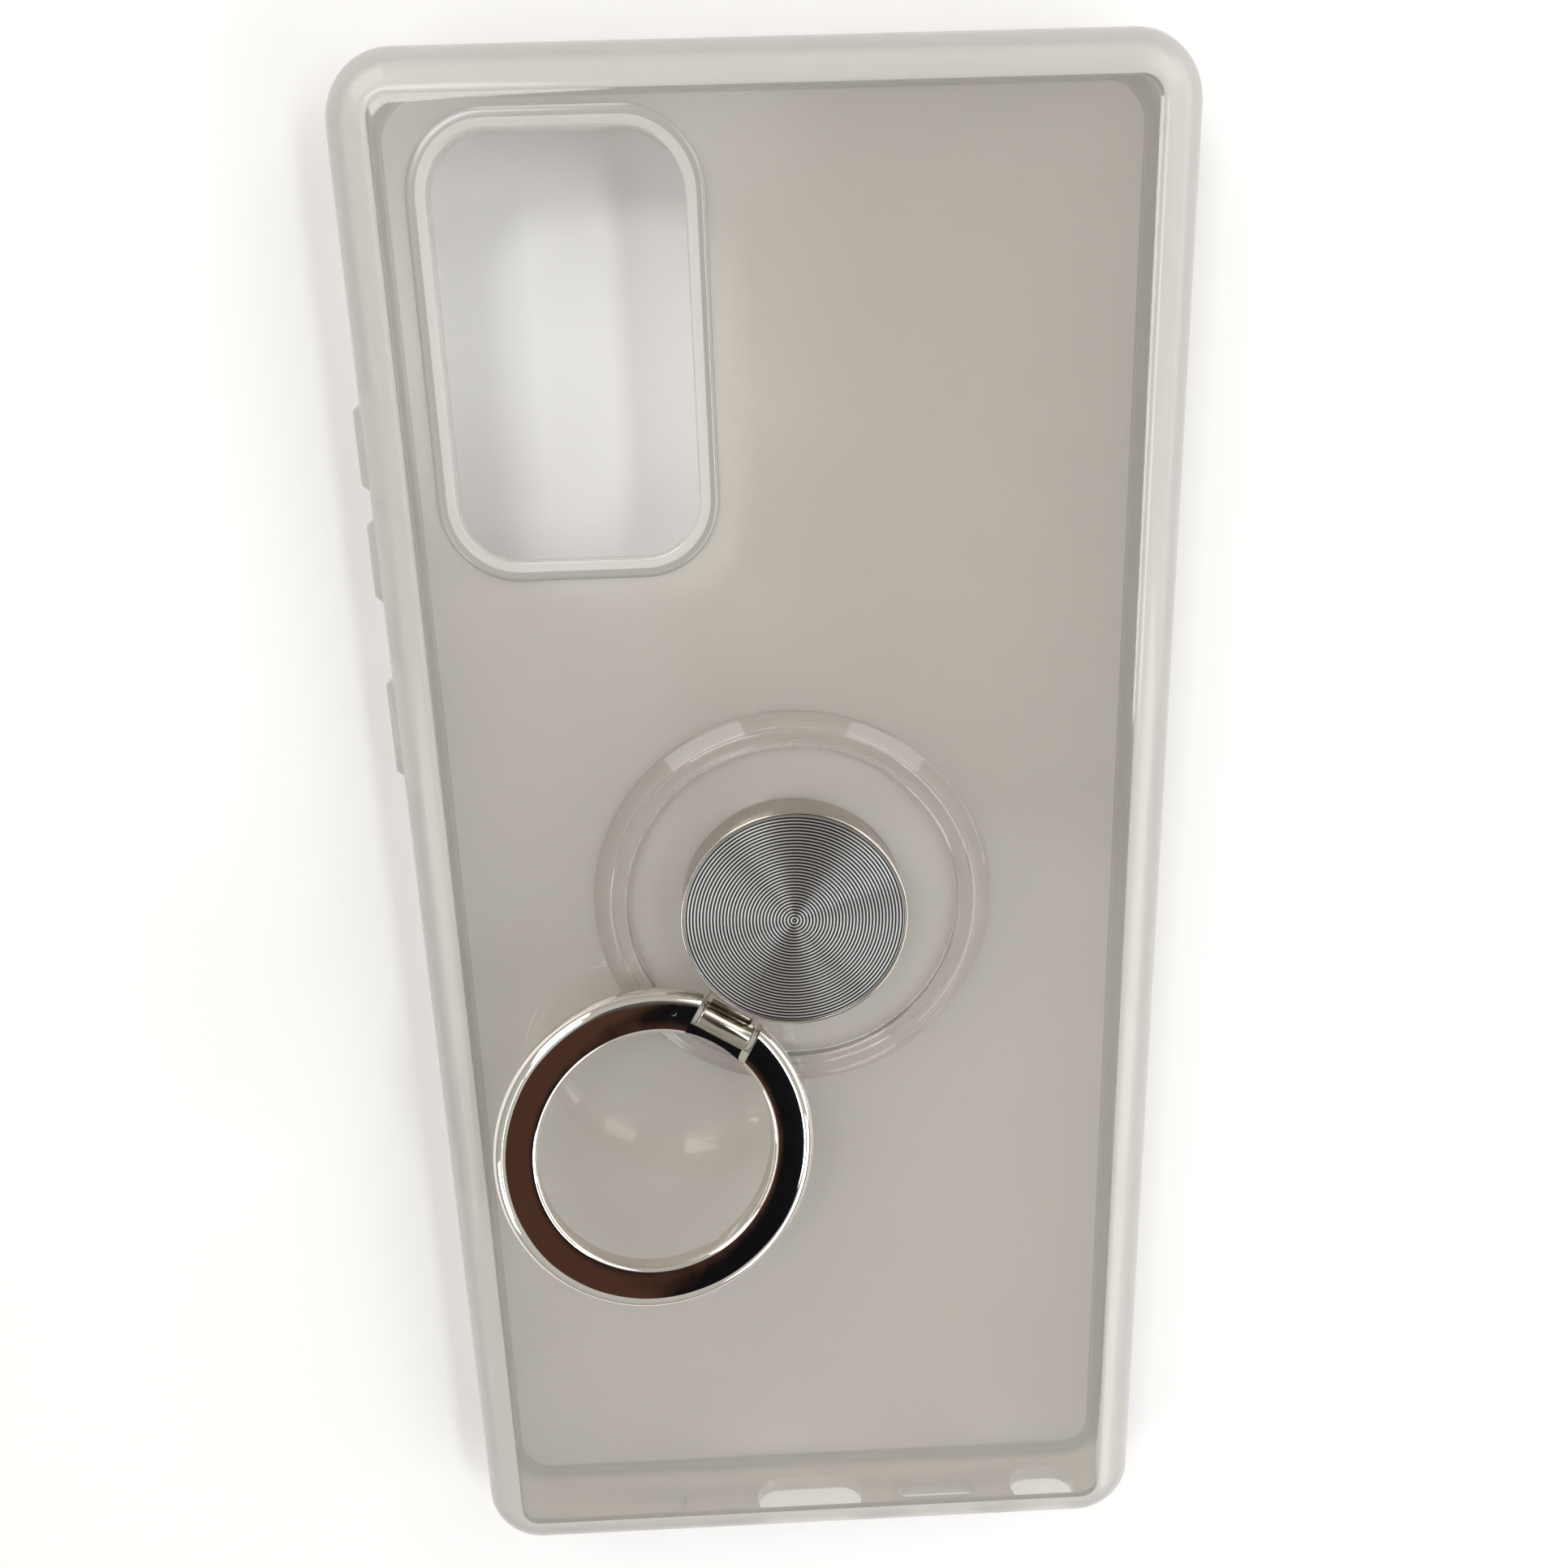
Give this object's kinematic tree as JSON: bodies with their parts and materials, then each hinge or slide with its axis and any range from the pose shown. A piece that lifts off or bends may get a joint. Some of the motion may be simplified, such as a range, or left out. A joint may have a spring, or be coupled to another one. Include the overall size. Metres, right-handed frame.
{
  "type": "phone case",
  "caption": "Clear phone case with a soft bumper, camera cutout, push buttons and a swivelling metal finger-ring stand that folds round a disc.",
  "frame": {"origin": "middle of the case's footprint, buttons included, on the plane of the screen lip", "axes": "+Z out of the back, +Y towards the phone's top end, -X towards the buttons"},
  "size_m": [0.0798, 0.1654, 0.0247],
  "materials": {
    "clear_plate": "clear, polished, slightly grey",
    "soft_bumper": "clear milky soft plastic, glossy",
    "drum_metal": "satin champagne plating",
    "ring_metal": "polished nickel plating",
    "spun_aluminium": "spun with fine concentric grooves",
    "plain_steel": "satin",
    "slip_plastic": "matt white",
    "film": "matt film"
  },
  "bodies": {
    "case": {"back_panel": "clear_plate", "bumper_frame": "soft_bumper", "camera_bead": "soft_bumper", "ring_collar": "clear_plate", "base_flange": "plain_steel", "clamp_washer": "plain_steel", "bearing_washer": "slip_plastic", "friction_spring": "plain_steel", "pivot_rivet": "plain_steel"},
    "turntable": {"swivel_drum": "drum_metal", "magnet_plate": "plain_steel", "inlay_film": "film", "disc_inlay": "spun_aluminium"},
    "ring": {"finger_ring": "ring_metal", "hinge_pin": "ring_metal", "hinge_bushes": "slip_plastic"},
    "volume_up": {"volume_up_button": "soft_bumper"},
    "volume_down": {"volume_down_button": "soft_bumper"},
    "power": {"power_button": "soft_bumper"}
  },
  "joints": [
    {"name": "stand_swivel", "type": "hinge", "parent": "case", "child": "turntable", "pos_m": [0.00045, 0.0016, 0.011], "axis": [0, 0, 1], "continuous": true},
    {"name": "ring_fold", "type": "hinge", "parent": "turntable", "child": "ring", "pos_m": [-0.00724, -0.01034, 0.0146], "axis": [-0.8406, 0.5417, 0], "range_deg": [0, 163]},
    {"name": "volume_up_press", "type": "slide", "parent": "case", "child": "volume_up", "axis": [1, 0, 0], "range_m": [0, 0.0004], "stiffness_N_per_m": 2500},
    {"name": "volume_down_press", "type": "slide", "parent": "case", "child": "volume_down", "axis": [1, 0, 0], "range_m": [0, 0.0004], "stiffness_N_per_m": 2500},
    {"name": "power_press", "type": "slide", "parent": "case", "child": "power", "axis": [1, 0, 0], "range_m": [0, 0.0004], "stiffness_N_per_m": 2500}
  ]
}
